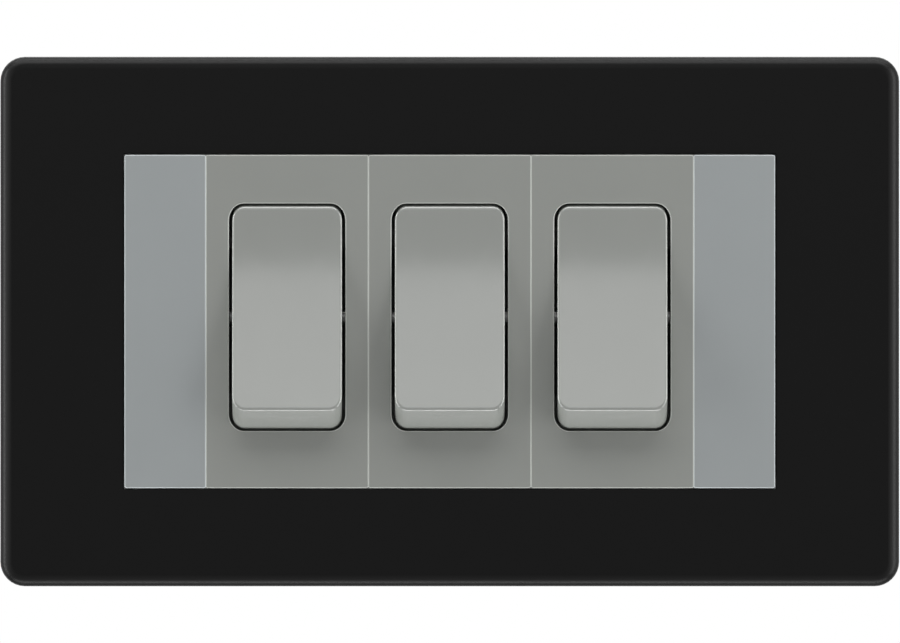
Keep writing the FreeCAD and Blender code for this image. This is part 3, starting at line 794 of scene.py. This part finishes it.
def screw_rows(stations, slot_width, slot_depth, way):
    """Rows of points round the Y axis, one for each (y, radius) of stations.

    A radius below zero stands for a thread: its surface is radius - depth * |2 fraction - 1| with
    the fraction of (y / pitch - angle / full turn).
    """
    angle, sunk = screw_angles(stations[0][1], slot_width)
    even = (np.arange(len(angle)) + 0.5) / len(angle) * 2 * np.pi
    rows = []
    for i, (y, radius) in enumerate(stations):
        turn = angle if i == 0 else even
        reach = np.full(len(turn), abs(radius))
        if radius < 0:
            wave = np.abs(2 * ((y / PITCH - turn / (2 * np.pi)) % 1) - 1)
            reach = reach - THREAD_DEPTH * wave
        level = y + way * slot_depth * sunk if i == 0 else y + 0 * turn
        rows.append(np.column_stack([reach * np.sin(turn), level, reach * np.cos(turn)]))
    return np.array(rows)


def screw_skin(stations, slot_width=0.9, slot_depth=0.9, way=1):
    """A screw about the Y axis, from its slotted end to its tip.

    way is +1 where the tip points along +Y. Strips from one side to the other close the slotted
    end, and a fan of triangles closes the tip.
    """
    rows = screw_rows(stations, slot_width, slot_depth, way)
    count, around = rows.shape[:2]
    points = np.vstack([rows.reshape(-1, 3), rows[-1].mean(axis=0)])
    here = np.arange(around)
    after = np.roll(here, -1)
    low = np.arange(count - 1)[:, None] * around
    high = low + around
    quads = np.stack([low + here, low + after, high + after, high + here], -1).reshape(-1, 4)
    right = np.arange(around // 2 - 1)
    strips = np.stack([around - 1 - right, around - 2 - right, right + 1, right], -1)
    pole = np.full(around, count * around)
    tip = np.stack([here + high[-1], after + high[-1], pole], -1)
    faces = quads.tolist() + strips.tolist() + tip.tolist()
    if way < 0:
        faces = [face[::-1] for face in faces]
    return points, faces


def thread(y_low, y_high, radius):
    """Stations of a threaded length."""
    count = int(abs(y_high - y_low) / PITCH * ROWS_PER_TURN) + 1
    return [(y, -radius) for y in np.linspace(y_low, y_high, count)]


# %% [markdown]
# A fixing screw has a head on the grid frame's sheet and a plain neck in it. A terminal screw has
# no head at all, and its slotted end looks to the back. The slotted end of both is plain as far
# down as the slot goes.

# %% Fixing and terminal screws
screw_radius, neck_radius, plain, run_in = 1.75, 1.5, 1.0, 0.1
fixing_x, top_radius, head_radius, tip_radius, tip_length = 60.3, 3.2, 3.4, 1.2, 0.4
terminal_z, grub_top_radius, grub_tip_radius, grub_tip_length = 17.5, 1.6, 1.3, 0.3

fixing_low, fixing_high = corners("fixing_screws")
head_y, tip_y = float(fixing_low[1]), float(fixing_high[1])
fixing = [(head_y, top_radius), (head_y + plain, head_radius), (sheet_y, head_radius),
          (sheet_y, neck_radius), (0.0, neck_radius),
          *thread(run_in, tip_y - tip_length, screw_radius), (tip_y, tip_radius)]
fixing_skin = screw_skin(fixing)
piece("long_screws", "fixing_screws", [moved(fixing_skin, x) for x in (-fixing_x, fixing_x)])


def headless(node):
    """A headless screw as deep as a CAD node, slotted at the far end."""
    low, high = (float(corner[1]) for corner in corners(node))
    threaded = thread(high - plain - run_in, low + grub_tip_length, screw_radius)
    return screw_skin([(high, grub_top_radius), (high - plain, screw_radius), *threaded,
                       (low, grub_tip_radius)], way=-1)


for side, x in module_x.items():
    grub = headless(f"terminal_screws_{side}")
    piece(f"grub_screws_{side}", f"terminal_screws_{side}",
          [moved(grub, x, z) for z in (terminal_z, -terminal_z)])
earth_x, _, earth_z = corners("earth_screw").mean(axis=0)
piece("grub_screw_earth", "earth_screw", [moved(headless("earth_screw"), earth_x, earth_z)])

# %% [markdown]
# ## Studio
# The picture is taken straight from the front, from four metres away, and shows 146.1 mm from side
# to side. From there the proud ends of the rockers look no larger than the face behind them. The
# light can be read from the shading: the rockers' slopes that look up are paler than the flat
# bezels, and the rim shines along all four sides. So four long lamps lie low round the plate,
# hardly in front of the wall. A smaller lamp hangs high in front, another one above shines from a
# little behind the wall's plane, and the last one lights the back. Where the camera or a glossy
# surface sees the surroundings they are white, but they give hardly any light, so the gaps and the
# places beside the proud ends stay dark.

# %% Camera
camera_distance = 4.0       # metres, like all of the studio
picture_width = 0.1461
camera_x = 0.00004          # the photograph isn't quite centred
camera_data = bpy.data.cameras.new("camera")
camera = bpy.data.objects.new("camera", camera_data)
bpy.context.scene.collection.objects.link(camera)
bpy.context.scene.camera = camera
camera.location = (camera_x, face_y * MM - camera_distance, 0)
camera.rotation_euler = (math.radians(90), 0, 0)
camera_data.sensor_width = 36
camera_data.lens = camera_data.sensor_width * camera_distance / picture_width
camera_data.clip_start, camera_data.clip_end = 0.05, 20
print("lens in millimetres:", round(camera_data.lens, 1))


# %% Lamps
def lamp(name, location, width, height, radiance):
    """A rectangular lamp that looks at the plate's middle. Its power is pi * area * radiance."""
    data = bpy.data.lights.new(name, "AREA")
    data.shape = "RECTANGLE"
    data.size, data.size_y = width, height
    data.energy = math.pi * width * height * radiance
    made = bpy.data.objects.new(name, data)
    bpy.context.scene.collection.objects.link(made)
    made.location = location
    made.rotation_euler = (-made.location).to_track_quat("-Z", "Y").to_euler()
    made.visible_camera = False


def off_the_wall(side, height, lift_deg, reach):
    """A place at this distance from the plate: side and height tell the way it lies along the wall,
    and lift_deg how far it is lifted off the wall towards the camera."""
    lift = math.radians(lift_deg)
    along = reach * math.cos(lift)
    return along * side, -reach * math.sin(lift), along * height


lamps = {     # side, height, lift_deg and reach, then width, height and radiance
    "lamp_right": ((1, 0, 18, 1.2), 0.50, 1.7, 5.7),
    "lamp_left": ((-1, 0, 9, 1.2), 0.26, 1.7, 12.0),
    "lamp_above": ((0, 1, 22, 1.2), 1.7, 0.50, 6.8),
    "lamp_below": ((0, -1, 8, 1.2), 1.7, 0.30, 9.0),
    "lamp_front": ((0, 1, 70, 1.3), 0.3, 0.57, 1.85),
    "lamp_rim": ((0, 1, -8, 1.2), 1.7, 0.24, 9.0),
}
for name, (place, width, height, radiance) in lamps.items():
    lamp(name, off_the_wall(*place), width, height, radiance)
lamp("lamp_behind", (0, 1.2, 0.5), 1.2, 1.2, 1.2)
print("lamps:", len(bpy.data.lights))

# %% Surroundings
WHITE, FAINT = (1, 1, 1, 1), 0.03
world = bpy.data.worlds.new("tent")
bpy.context.scene.world = world
world.use_nodes = True
tree = world.node_tree
faint = tree.nodes["Background"]
faint.inputs["Color"].default_value = WHITE
faint.inputs["Strength"].default_value = FAINT
bright = add(tree, "ShaderNodeBackground", {"Color": WHITE, "Strength": 1.0})
ray = add(tree, "ShaderNodeLightPath", {})
seen = ray.outputs["Is Camera Ray"]
for kind in ("Is Glossy Ray", "Is Transmission Ray"):
    seen = add(tree, "ShaderNodeMath", {0: seen, 1: ray.outputs[kind]},
               operation="MAXIMUM").outputs[0]
mix = add(tree, "ShaderNodeMixShader", {"Fac": seen, 1: faint.outputs[0], 2: bright.outputs[0]})
tree.links.new(mix.outputs[0], tree.nodes["World Output"].inputs["Surface"])

# %% Floor
floor_half, floor_z = 1.5, -1.3
floor_corners = [(-floor_half, -floor_half, floor_z), (floor_half, -floor_half, floor_z),
                 (floor_half, floor_half, floor_z), (-floor_half, floor_half, floor_z)]
floor_mesh = bpy.data.meshes.new("floor")
floor_mesh.from_pydata(floor_corners, [], [(0, 1, 2, 3)])
floor_mesh.materials.append(finish("floor_white", (0.80, 0.80, 0.80), 0.6, 4.0, 0.02))
floor = bpy.data.objects.new("floor", floor_mesh)
bpy.context.scene.collection.objects.link(floor)
bpy.context.scene.view_settings.view_transform = "Standard"
print("floor at z =", floor_z)
